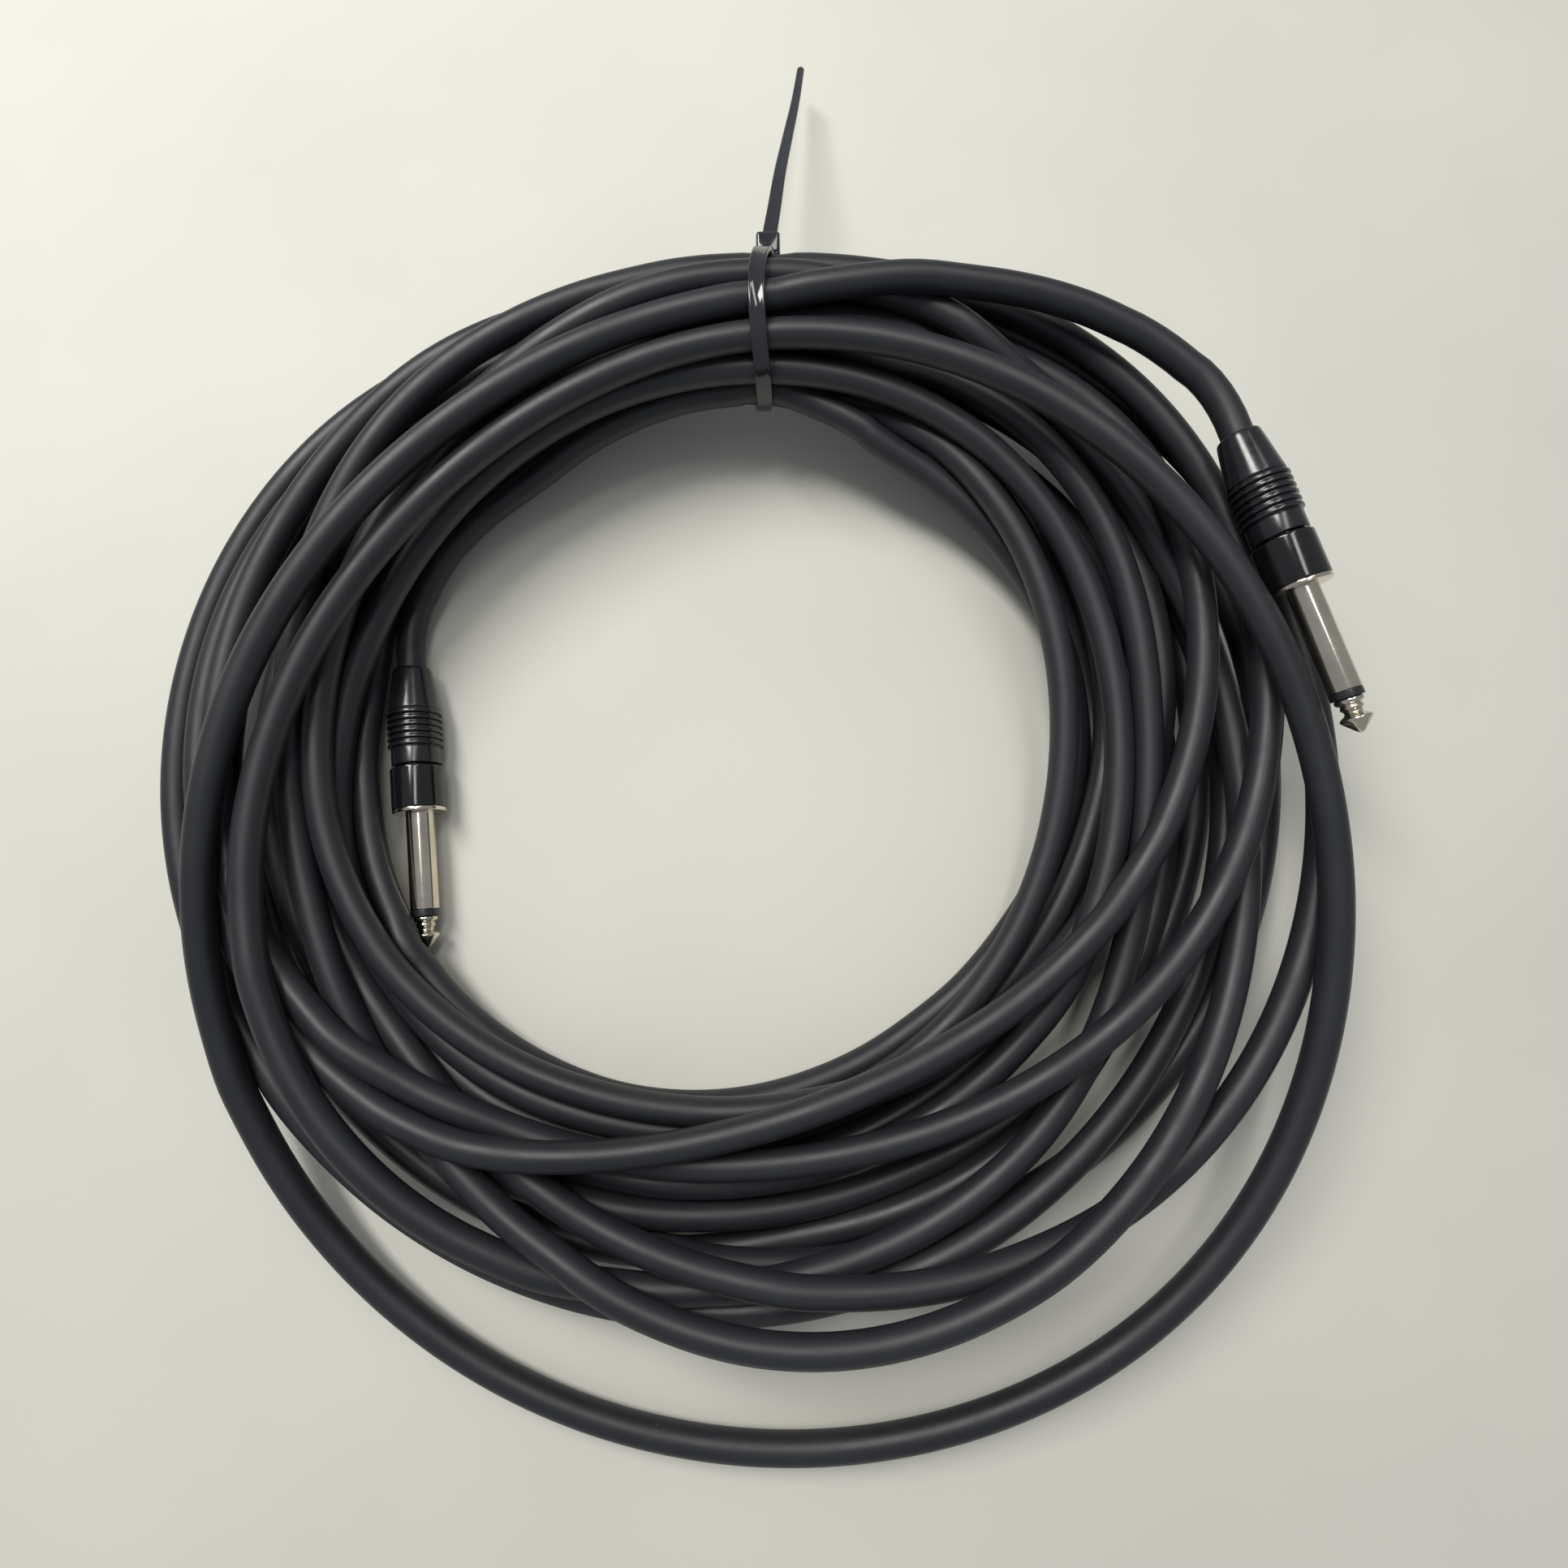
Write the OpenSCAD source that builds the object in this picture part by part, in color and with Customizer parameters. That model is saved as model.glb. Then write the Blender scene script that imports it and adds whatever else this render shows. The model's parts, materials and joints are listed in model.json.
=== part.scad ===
// Instrument lead with two straight 6.35 mm phone plugs, wound into a coil and held by a cable tie.
// Millimetres, +Z up. The coil lies on z = 0, and the origin is the bottom centre of the whole part.

/* [Cable] */
// Outer diameter of the cable's jacket
cable_d = 6.5; // [5.5:0.1:6.8]
// Diameter of the insulated core inside it
core_d = 2.4; // [1.8:0.1:2.8]
// Diameter of the bare core conductor
conductor_d = 0.9; // [0.5:0.1:1.2]

/* [Coil] */
// Number of strands that pass through the tie
strands = 17; // [15:1:17]
// Height of the bundle's axis where the tie holds it
bundle_z = 26; // [24:0.5:28]

/* [Plug contact] */
// Diameter of the sleeve, the standard phone plug size
sleeve_d = 6.35; // [6.3:0.01:6.4]
// Length of the sleeve in front of the flange
sleeve_len = 22.8; // [22:0.1:23]
// Length of the black ring between sleeve and tip
ring_len = 1.5; // [1.2:0.1:1.8]
// Length from the flange to the point of the tip
contact_len = 31.75; // [31:0.05:32]
// Diameter of the flange
flange_d = 12; // [11.8:0.1:12.1]

/* [Plug body] */
// Diameter of the glossy front shell
shell_d = 12.1; // [11.8:0.1:12.3]
// Length of the front shell
shell_len = 9.8; // [9:0.1:11]
// Diameter of the boot nut's smooth band
band_d = 11.2; // [10.8:0.1:11.6]
// Diameter over the grip rings
grip_d = 12.4; // [12:0.1:12.5]
// Number of grip rings
grip_rings = 6; // [4:1:6]
// Diameter of the boot's cable end
boot_end_d = 8.7; // [8.2:0.1:9]

/* [Boot nut's thread] */
// Thread pitch
pitch = 1; // [0.75:0.25:1.5]
// Radial running clearance between the nut and the spigot
thread_gap = 0.05; // [0.03:0.01:0.08]

/* [Cable tie] */
// Width of the strap
strap_w = 3.6; // [3.2:0.1:4.2]
// Thickness of the strap
strap_t = 1.1; // [0.9:0.1:1.3]

/* [Colours] */
cable_colour = "#1c1d20";
shell_colour = "#0d0d0f";
nickel_colour = "#c9c4b8";
tie_colour = "#232427";

/* [Hidden] */
PARTS = ["tip", "tip_ring", "sleeve", "core_insulator", "rear_washer", "tip_terminal", "ground_terminal",
         "front_shell", "chuck", "boot", "core_wire", "core_conductor", "shield_pigtail", "solder",
         "cable_end"];
$fn = 48;
eps = 0.01;

// ---- Plug, along its own X axis: the flange's front face is x = 0 and the tip points to +X.

sleeve_r = sleeve_d / 2;
shell_r = shell_d / 2;
rod_r = 1;
insulator_r = 2;
flange_t = 1;
hub_r = 4.5;
hub_x = -4;
tag_t = 0.5;
washer_t = 0.8;
shell_x = -flange_t - shell_len;
cavity_r = 5;
spigot_r = 4.8;
spigot_x = shell_x - 5.6;
wiring_bore_r = 3.9;
// The boot nut: smooth band, grip rings, taper
nut_x = shell_x - 0.6;
grip_x = nut_x - 4;
taper_x = grip_x - 9.2;
boot_x = taper_x - 10.8;
nut_bore_r = spigot_r + thread_gap;
// The chuck grips the jacket inside the nut
chuck_x = spigot_x - 0.6;
collar_len = 1.4;
chuck_len = 8;
chuck_r = 4.3;
collar_r = 4.7;
jacket_gap = 0.05;
// The jacket is stripped back to here
strip_x = shell_x - 2.2;
// The cable leaves the boot straight for the distance that the nut can back off
straight_x = boot_x - 6.2;

plug_a_at = [114, 0, 38];
plug_a_turn = -73;
plug_b_at = [-79.4, -43, 6.2];
plug_b_turn = -83;

// Everything is laid out round this place, which puts the whole part's bottom centre at the origin
layout_at = [5, 10.923, 0];

// ---- Routes: round numbers

// The point that the turns go round
coil_centre = [-1, -39];
tie_x = 2;
bundle_r = cable_d / 2 * 4.85 * sqrt(strands / 17);
bundle_off = 107;

// The leads, from the coil to each plug
lead_a_route = [[6, 66.5, 38.5], [18, 68, 39.4], [32, 69, 40.3], [46, 68.5, 40.6], [58.5, 66.2, 40.3],
                [70.5, 63, 39.8], [81, 59, 39.2], [90, 54, 38.6], [97.5, 47.5, 38.2]];
lead_b_route = [[-4, 55.5, 22], [-16, 54.5, 21], [-28, 52, 19], [-40, 48, 17], [-52, 42.5, 14.5],
                [-63, 35.5, 12], [-72, 27.5, 9.5], [-79, 18, 7.6], [-83.4, 8, 6.5]];

// The outermost turn: its reach from the coil's centre and its height at every eighth of the way,
// from the tie round by the left, the bottom and the right back to the tie
outer_reach  = [105.4, 101, 112, 132, 140, 140, 118, 105, 99.1];
outer_height = [38.2, 35.5, 32, 9, 5, 15, 34, 39.5, 35.4];
// Angles past the tie's where it leaves the bundle and comes back to it
outer_start = 1.5;
outer_end = 356;
outer_rings = 46;

// Coil outline at every 30 degrees round the coil's centre, from +X towards +Y
coil_in  = [70, 79, 88, 91, 92, 100, 92.5, 89, 73, 66, 65, 66];
coil_out = [127, 131, 134, 123, 131, 137, 135, 127, 120, 117, 120, 127];
coil_top = [33, 30, 34, 41, 33.5, 30, 27, 25, 24, 24, 25, 29];

// ---- Curves

// Point between b and c of four neighbours, at t from 0 to 1
function between(a, b, c, d, t) =
    b + t / 2 * (c - a) + t * t / 2 * (2 * a - 5 * b + 4 * c - d)
      + t * t * t / 2 * (3 * b - a - 3 * c + d);

// Value at an angle of a table that goes once round in equal steps
function around(table, angle) =
    let (n = len(table), u = angle / 360 * n, i = floor(u))
    between(table[(i + n - 1) % n], table[i % n], table[(i + 1) % n], table[(i + 2) % n], u - i);

// Value in a table that goes once round in equal steps, but ends elsewhere than it starts
function along(table, angle) =
    let (n = len(table) - 1, u = angle / 360 * n, i = min(floor(u), n - 1))
    between(table[max(i - 1, 0)], table[i], table[i + 1], table[min(i + 2, n)], u - i);

// Smooth curve through the points, with a number of steps for each gap
function curve(points, steps) =
    let (n = len(points))
    [for (i = [0:n - 2], s = [0:steps - 1])
        between(points[max(i - 1, 0)], points[i], points[i + 1], points[min(i + 2, n - 1)], s / steps),
     points[n - 1]];

function unit(v) = v / norm(v);
function around_coil(reach, angle, height) =
    [coil_centre.x + reach * cos(angle), coil_centre.y + reach * sin(angle), height];
function tangent(path, i) = unit(path[min(i + 1, len(path) - 1)] - path[max(i - 1, 0)]);

// Ring of a section's points [across, up], at a point on a path that runs mostly level
function ring_at(at, along, section) =
    let (across = unit(cross([0, 0, 1], along)), up = cross(along, across))
    [for (p = section) at + across * p.x + up * p.y];

function disc(r, sides) = [for (k = [0:sides - 1]) r * [cos(360 * k / sides), sin(360 * k / sides)]];

// Solid through a list of rings, with end faces, or closed on itself
module skin(rings, closed = false) {
    n = len(rings[0]);
    m = len(rings);
    walls = [for (i = [0:m - (closed ? 1 : 2)], k = [0:n - 1], half = [0, 1])
        let (j = (i + 1) % m, l = (k + 1) % n)
        half == 0 ? [i * n + k, j * n + k, i * n + l] : [i * n + l, j * n + k, j * n + l]];
    ends = closed ? [] : [[for (k = [0:n - 1]) k], [for (k = [n - 1:-1:0]) (m - 1) * n + k]];
    polyhedron([for (r = rings, p = r) p], concat(walls, ends));
}

module tube(path, sides = 10) {
    skin([for (i = [0:len(path) - 1]) ring_at(path[i], tangent(path, i), disc(cable_d / 2, sides))]);
}

// ---- Placing

module place(side) {
    at = side == "_a" ? plug_a_at : plug_b_at;
    turn = side == "_a" ? plug_a_turn : plug_b_turn;
    translate(at) rotate([0, 0, turn]) children();
}

function on_axis(at, turn, x) = at + x * [cos(turn), sin(turn), 0];

// Lathe profile of [x, radius] points, turned about X
module lathe(profile) {
    rotate([90, 0, 90]) rotate_extrude() polygon([for (p = profile) [p.y, p.x]]);
}

module rod_x(r, from, to) {
    translate([from, 0, 0]) rotate([0, 90, 0]) cylinder(r = r, h = to - from);
}

module pipe_x(r_out, r_in, from, to) {
    difference() {
        rod_x(r_out, from, to);
        rod_x(r_in, from - 1, to + 1);
    }
}

module slab(from, to) {
    translate(from) cube(to - from);
}

// ---- Plug contact

module tip() {
    rivet_x = hub_x - 2 * tag_t - washer_t;
    ring_end = sleeve_len + ring_len;
    color(nickel_colour) lathe([
        [rivet_x - 0.6, 0], [rivet_x - 0.6, 1.5], [rivet_x, 1.5], [rivet_x, rod_r],
        [ring_end, rod_r], [ring_end, 2.3], [ring_end + 0.5, 2.6], [ring_end + 1.1, 2.35],
        [ring_end + 1.6, 1.85], [ring_end + 2.1, 1.8], [ring_end + 2.7, 2.05], [ring_end + 3.5, 2.65],
        [ring_end + 4.1, 2.95], [ring_end + 4.5, 2.95], [ring_end + 4.8, 2.75],
        [contact_len - 0.5, 0.85], [contact_len - 0.12, 0.45], [contact_len, 0]]);
}

module tip_ring() {
    color(shell_colour) pipe_x(sleeve_r - 0.03, rod_r, sleeve_len, sleeve_len + ring_len);
}

module sleeve() {
    edge = 0.2;
    color(nickel_colour) difference() {
        lathe([[hub_x, 0], [hub_x, hub_r], [-flange_t, hub_r], [-flange_t, flange_d / 2 - edge],
               [-flange_t + edge, flange_d / 2], [-edge, flange_d / 2], [0, flange_d / 2 - edge],
               [0, sleeve_r], [sleeve_len - edge, sleeve_r], [sleeve_len, sleeve_r - edge],
               [sleeve_len, 0]]);
        rod_x(insulator_r, hub_x - 1, sleeve_len + 1);
    }
}

module core_insulator() {
    color("ivory") pipe_x(insulator_r, rod_r, hub_x - tag_t, sleeve_len);
}

module rear_washer() {
    color("saddlebrown") pipe_x(3.4, rod_r, hub_x - tag_t - washer_t, hub_x - tag_t);
}

module tip_terminal() {
    plate_x = hub_x - tag_t - washer_t;
    step_x = plate_x - 1.7;
    color(nickel_colour) {
        pipe_x(2.4, rod_r, plate_x - tag_t, plate_x);
        difference() {
            union() {
                slab([step_x, -1, -2.4], [plate_x - tag_t / 2, 1, -1.9]);
                slab([step_x, -1, -2.4], [step_x + tag_t, 1, -0.45]);
                slab([step_x - 3, -1, -0.95], [step_x + tag_t, 1, -0.45]);
            }
            rod_x(rod_r, plate_x - 1, plate_x + 1);
        }
    }
}

module ground_terminal() {
    color(nickel_colour) {
        pipe_x(4.3, insulator_r, hub_x - tag_t, hub_x);
        slab([hub_x - 5.5, -1.25, -4.3], [hub_x - tag_t / 2, 1.25, -3.8]);
    }
}

// ---- Plug body

module front_shell() {
    edge = 0.35;
    color(shell_colour) difference() {
        lathe([[spigot_x, 0], [spigot_x, spigot_r], [shell_x, spigot_r], [shell_x, shell_r - edge],
               [shell_x + edge, shell_r], [-flange_t - edge / 2, shell_r], [-flange_t, shell_r - edge / 2],
               [-flange_t, 0]]);
        rod_x(hub_r, hub_x - 1, 0);
        rod_x(cavity_r, shell_x + 0.8, hub_x);
        rod_x(wiring_bore_r, spigot_x - 1, hub_x);
    }
}

module chuck() {
    slit = 0.8;
    color("dimgray") difference() {
        union() {
            rod_x(collar_r, chuck_x - collar_len, chuck_x);
            rod_x(chuck_r, chuck_x - chuck_len, chuck_x);
        }
        rod_x(cable_d / 2 + jacket_gap, chuck_x - chuck_len - 1, chuck_x + 1);
        for (a = [0, 90])
            rotate([a, 0, 0]) slab([chuck_x - chuck_len - 1, -slit / 2, -chuck_r - 1],
                                   [chuck_x - collar_len - 1, slit / 2, chuck_r + 1]);
    }
}

// One ring of the grip: a rounded crest between two grooves
function grip_ring(x, pitch_x, crest, groove) =
    [[x, groove], [x - 0.2 * pitch_x, crest - 0.15], [x - 0.35 * pitch_x, crest],
     [x - 0.65 * pitch_x, crest], [x - 0.8 * pitch_x, crest - 0.15]];

module boot() {
    groove_r = band_d / 2 + 0.1;
    end_r = boot_end_d / 2;
    ring_pitch = (grip_x - taper_x) / grip_rings;
    outline = concat(
        [[nut_x, 0], [nut_x, band_d / 2 - 0.3], [nut_x - 0.3, band_d / 2], [grip_x, band_d / 2]],
        [for (i = [0:grip_rings - 1], p = grip_ring(grip_x - i * ring_pitch, ring_pitch, grip_d / 2, groove_r)) p],
        [[taper_x, groove_r], [taper_x - 0.4, groove_r + 0.1], [boot_x + 1, end_r + 0.1],
         [boot_x + 0.35, end_r - 0.15], [boot_x, end_r - 0.6], [boot_x, 0]]);
    color(shell_colour) difference() {
        lathe(outline);
        rod_x(nut_bore_r, chuck_x - collar_len - 0.2, nut_x + 1);
        rod_x(chuck_r + 0.1, chuck_x - chuck_len - 0.3, nut_x);
        rod_x(cable_d / 2 + 0.25, boot_x - 1, nut_x);
    }
}

// ---- Wiring inside the plug

module core_wire() {
    color("whitesmoke") pipe_x(core_d / 2, conductor_d / 2, strip_x, strip_x + 2);
}

module core_conductor() {
    color("peru") rod_x(conductor_d / 2, strip_x, strip_x + 4.2);
}

module shield_pigtail() {
    rise = 0.9;
    run = 4.2;
    color("peru") difference() {
        translate([strip_x - 1, 0, -2.1]) rotate([0, 90 + atan(rise / run), 0]) cylinder(r = 0.55, h = run + 1.5);
        slab([strip_x - 4, -3, -5], [strip_x, 3, 0]);
    }
}

// Solder on each tag, around what it joins
module solder() {
    color("silver") {
        difference() {
            translate([strip_x + 3.6, 0, 0.15]) sphere(r = 0.85, $fn = 24);
            core_conductor();
            tip_terminal();
        }
        difference() {
            translate([strip_x + 4.2, 0, -3.1]) sphere(r = 0.9, $fn = 24);
            shield_pigtail();
            ground_terminal();
        }
    }
}

module cable_end() {
    color(cable_colour) rod_x(cable_d / 2, straight_x, strip_x);
}

module plug_part(name) {
    if (name == "tip") tip();
    if (name == "tip_ring") tip_ring();
    if (name == "sleeve") sleeve();
    if (name == "core_insulator") core_insulator();
    if (name == "rear_washer") rear_washer();
    if (name == "tip_terminal") tip_terminal();
    if (name == "ground_terminal") ground_terminal();
    if (name == "front_shell") front_shell();
    if (name == "chuck") chuck();
    if (name == "boot") boot();
    if (name == "core_wire") core_wire();
    if (name == "core_conductor") core_conductor();
    if (name == "shield_pigtail") shield_pigtail();
    if (name == "solder") solder();
    if (name == "cable_end") cable_end();
}

// ---- Cable

// Outline of the pile of turns, as fractions of its width and height, from its inner lower edge
pile = [[0.14, 0], [0.5, 0], [0.86, 0], [1, 0.16], [1, 0.5], [0.94, 0.76], [0.74, 0.97],
        [0.5, 1], [0.26, 0.97], [0.06, 0.76], [0, 0.5], [0, 0.16]];

// Share of the round, tied bundle in the outline at an angle: 1 at the tie, 0 a short way round from it
function tied(angle) = let (t = min(max((abs(angle - 89) - 8) / 24, 0), 1)) 1 - t * t * (3 - 2 * t);

function coil_section(angle) =
    let (near = around(coil_in, angle), far = around(coil_out, angle), top = around(coil_top, angle),
         share = tied(angle), n = len(pile))
    [for (k = [0:n - 1])
        let (loose = [near + (far - near) * pile[k].x, top * pile[k].y],
             a = 360 / n * k - 120,
             round = [bundle_off + bundle_r * cos(a), bundle_z + bundle_r * sin(a)])
        loose + share * (round - loose)];

module cable_coil() {
    step = 7.5;
    color(cable_colour)
        skin([for (angle = [0:step:359])
                 [for (p = coil_section(angle)) around_coil(p.x, angle, p.y)]],
             closed = true);
}

module outer_loop() {
    step = (outer_end - outer_start) / outer_rings;
    color(cable_colour)
        tube([for (turn = [outer_start:step:outer_end + eps])
                 around_coil(along(outer_reach, turn), 90 + turn, along(outer_height, turn))]);
}

module lead_a() {
    plug_end = [for (x = [straight_x - eps, straight_x]) on_axis(plug_a_at, plug_a_turn, x)];
    color(cable_colour) tube(concat(curve(lead_a_route, 1), plug_end));
}

module lead_b() {
    plug_end = [for (x = [straight_x - eps, straight_x]) on_axis(plug_b_at, plug_b_turn, x)];
    color(cable_colour) tube(concat(curve(lead_b_route, 1), plug_end));
}

// ---- Cable tie: loop round the bundle, head on its outer side, tail pointing away

tie_centre = [tie_x, coil_centre.y + bundle_off, bundle_z];
loop_r = bundle_r + 0.1;
head_turn = 12;
head = [5.6, 5, 4.6];
tail_route = [[3.4, 88, 30.2], [4.6, 98, 28.4], [6, 112, 24.6], [8, 128, 19.6], [10, 144, 14.4],
              [11.6, 160, 9.6]];
tail_end_w = 1.9;

module cable_tie() {
    slope = (strap_w - tail_end_w) / (len(tail_route) - 1);
    color(tie_colour) {
        translate(tie_centre) rotate([0, 90, 0]) difference() {
            cylinder(r = loop_r + strap_t, h = strap_w, center = true);
            cylinder(r = loop_r, h = strap_w + 1, center = true);
        }
        translate(tie_centre) rotate([head_turn, 0, 0])
            translate([-head.x / 2, loop_r + strap_t - 0.3, -head.z / 2]) cube(head);
        skin([for (i = [0:len(tail_route) - 1])
                 let (w = (strap_w - i * slope) / 2, t = strap_t / 2)
                 ring_at(tail_route[i], tangent(tail_route, i), [[-w, -t], [w, -t], [w, t], [-w, t]])]);
    }
}

module laid_out() {
    translate(layout_at) children();
}

laid_out() cable_coil();
laid_out() outer_loop();
laid_out() lead_a();
laid_out() lead_b();
laid_out() cable_tie();
for (side = ["_a", "_b"], part = PARTS)
    laid_out() place(side) plug_part(part);
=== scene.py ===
"""A coiled instrument cable with a cable tie and two phone plugs, on a pale floor."""

import json
import math

import bmesh
import bpy
import numpy as np
from mathutils import Matrix, Vector


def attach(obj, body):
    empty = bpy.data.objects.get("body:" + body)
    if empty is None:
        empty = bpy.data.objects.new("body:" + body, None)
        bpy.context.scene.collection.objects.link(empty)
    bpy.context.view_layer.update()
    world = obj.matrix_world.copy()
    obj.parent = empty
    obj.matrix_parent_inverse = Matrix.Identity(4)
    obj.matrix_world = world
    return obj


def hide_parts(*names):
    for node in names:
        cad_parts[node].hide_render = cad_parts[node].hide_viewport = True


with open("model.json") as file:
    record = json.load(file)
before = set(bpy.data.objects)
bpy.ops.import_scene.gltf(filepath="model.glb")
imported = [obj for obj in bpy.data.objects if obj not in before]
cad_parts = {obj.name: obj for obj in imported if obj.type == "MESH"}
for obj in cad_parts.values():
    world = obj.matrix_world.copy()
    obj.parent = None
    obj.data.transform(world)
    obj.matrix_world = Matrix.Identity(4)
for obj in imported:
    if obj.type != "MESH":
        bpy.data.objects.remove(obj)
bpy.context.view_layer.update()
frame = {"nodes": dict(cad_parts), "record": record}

MM = 0.001
LAYOUT = np.array([5.0, 10.923, 0.0])


def to_scene(points):
    """From the design's own place and millimetres to the frame's metres."""
    return (np.asarray(points, float) + LAYOUT) * MM


# ---------------------------------------------------------------- camera

camera_data = bpy.data.cameras.new("camera")
camera_data.lens = 18.634
camera_data.sensor_width = 36
camera_data.clip_start = 0.01
camera = bpy.data.objects.new("camera", camera_data)
camera.location = (0.012, -0.0545, 0.19767)
camera.rotation_euler = (math.radians(8.75), 0, 0)
bpy.context.scene.collection.objects.link(camera)
bpy.context.scene.camera = camera

# ---------------------------------------------------------------- the cable's own line, in millimetres

CABLE_D = 6.5
CABLE_R = CABLE_D / 2
STEP = 3.0  # between the points of the cable's line
POLE = np.array([-1.0, -39.0])  # the centre that the turns go round
BUNDLE = np.array([107.0, 26.0])  # the tied bundle's reach from the pole and its height
BUNDLE_R = 15.76
PLUGS = {"a": ((114.0, 0.0, 38.0), -73.0), "b": ((-79.4, -43.0, 6.2), -83.0)}  # place and heading
BOOT_END = -35.4  # along a plug's axis, from its flange
IN_BOOT = (-13, -20, -27, -34, -41.4)  # places along a plug's axis where the cable is straight

LEAD_A = [[97.5, 47.5, 38.2], [90, 54, 38.6], [81, 59, 39.2], [70.5, 63, 39.8], [58.5, 66.2, 40.3],
          [46, 68.5, 40.6], [32, 69, 40.3], [18, 68, 39.4], [6, 66.5, 38.5]]
LEAD_B = [[-16, 54.5, 21], [-28, 52, 19], [-40, 48, 17], [-52, 42.5, 14.5],
          [-63, 35.5, 12], [-72, 27.5, 9.5], [-79, 18, 7.6], [-83.4, 8, 6.5]]

# The coil's turns from the top of the pile to the bottom. Each starts at the tie and goes round by the
# left and the bottom, and has its reach from the pole and its height at the next seven eighths of the way:
# upper left, left, lower left, bottom, lower right, right and upper right.
TURNS = [
    ((101, 112, 132, 140, 140, 118, 105), (35.5, 32, 9, 5, 15, 34, 39.5)),
    ((94, 104, 111, 103, 98, 86, 106), (31, 28, 25, 14, 14, 19, 26)),
    ((128, 122, 98, 70, 72, 94, 118), (18, 19, 19, 19, 19, 24, 27)),
    ((111, 102, 95, 101, 119, 126, 127), (16, 11, 13, 20, 20, 22, 25)),
    ((125, 119, 97, 79, 88, 110, 127), (20, 21, 19, 16, 21, 27, 27)),
    ((116, 101, 97, 113, 114, 109, 112), (30, 18, 16, 24, 24, 20, 25)),
    ((106, 100, 84, 74, 74, 96, 114), (24, 19, 15, 13, 12, 15, 20)),
    ((108, 108, 98, 88, 82, 82, 97), (21, 12, 10, 10, 11, 18, 24)),
    ((97, 101, 91, 82, 76, 70, 88), (21, 9, 8, 8, 8, 15, 22)),
    ((103, 104, 92, 78, 73, 84, 103), (14, 9, 8, 4, 5, 6, 11)),
    ((135, 133, 119, 110, 109, 114, 116), (15, 14, 14, 12, 11, 8, 11)),
    ((111, 103, 98, 102, 110, 121, 125), (10, 5, 5, 8, 10, 13, 15)),
    ((131, 126, 110, 100, 97, 101, 101), (12, 8, 9, 6, 5, 6, 11)),
    ((112, 117, 106, 95, 103, 107, 122), (10, 5, 8, 6, 4, 5, 9)),
    ((117, 99, 93, 85, 79, 87, 97), (8, 4, 4, 4, 4, 4, 6)),
    ((107, 99, 89, 73, 73, 84, 91), (10, 10, 12, 4, 4, 5, 15)),
]
PLACES = 8
TOP_TURNS = 6

# How firmly the cable keeps to its plan: in a boot, on a lead, in the tie, where it shows on top of the
# pile, and further down
IN_PLUG, ON_LEAD, IN_TIE, ON_TOP, BELOW = 1.0, 0.5, 0.8, 0.25, 0.06

# The tie: its angle round the pole, how many degrees it holds on each side, how much room in mm the bundle
# then gets with each degree, and for how many degrees
TIE_ANGLE, TIE_HOLDS, TIE_SPREAD, TIE_REACH = 88.4, 2.0, 0.4, 14.0

# Where each pass sits in the tied bundle: angle round its axis and distance from it
OUTER, INNER = 12.3, 6.3
SEATS = [(97.4, OUTER), (130, OUTER), (0, 0.0), (120, INNER), (359, OUTER), (32, OUTER),
         (64.7, OUTER), (48, INNER), (162.8, OUTER), (228, OUTER), (293.5, OUTER), (264, INNER),
         (326, OUTER), (261, OUTER), (336, INNER), (192, INNER), (195.5, OUTER)]


def on_axis(side, x):
    """The point x from a plug's flange, along its axis towards its tip."""
    at, turn = PLUGS[side]
    t = math.radians(turn)
    return np.array(at) + x * np.array([math.cos(t), math.sin(t), 0.0])


def polar(r, angle, z):
    """The point at a reach and an angle round the pole, at a height."""
    t = math.radians(angle)
    return np.array([POLE[0] + r * math.cos(t), POLE[1] + r * math.sin(t), z])


def seat(k):
    """Reach and height of a pass through the tie."""
    angle, off = SEATS[k]
    t = math.radians(angle)
    return BUNDLE + off * np.array([math.cos(t), math.sin(t)])


def between(a, b, c, d, t):
    """Point between b and c of four neighbours, at t from 0 to 1."""
    return (b + t / 2 * (c - a) + t * t / 2 * (2 * a - 5 * b + 4 * c - d)
            + t**3 / 2 * (3 * b - a - 3 * c + d))


def coil_plan(steps=4):
    """Points round all the turns, and how firmly each holds the cable."""
    places = []
    for k, (reaches, heights) in enumerate(TURNS):
        places.append((*seat(k), IN_TIE))
        firm = ON_TOP if k < TOP_TURNS else BELOW
        places += [(reach, height, firm) for reach, height in zip(reaches, heights)]
    places.append((*seat(len(TURNS)), IN_TIE))
    places = np.array([places[0], *places, places[-1]])
    for i in range(len(places) - 3):
        for t in np.arange(steps) / steps:
            reach, height, _ = between(*places[i:i + 4], t)
            firm = (1 - t) * places[i + 1, 2] + t * places[i + 2, 2]
            yield polar(reach, 90 + 360 / PLACES * (i + t), height), firm
    yield polar(places[-1, 0], 90, places[-1, 1]), IN_TIE


def plan():
    """Points that the cable passes near from plug to plug, and how firmly each holds it."""
    stops = [(on_axis("a", x), IN_PLUG) for x in IN_BOOT]
    stops += [(p, ON_LEAD) for p in LEAD_A]
    stops += coil_plan()
    stops += [(p, ON_LEAD) for p in LEAD_B]
    stops += [(on_axis("b", x), IN_PLUG) for x in reversed(IN_BOOT)]
    return np.array([p for p, _ in stops], float), np.array([firm for _, firm in stops])


def along(points):
    """How far along the line each point is."""
    return np.concatenate([[0], np.cumsum(np.linalg.norm(np.diff(points, axis=0), axis=1))])


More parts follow.
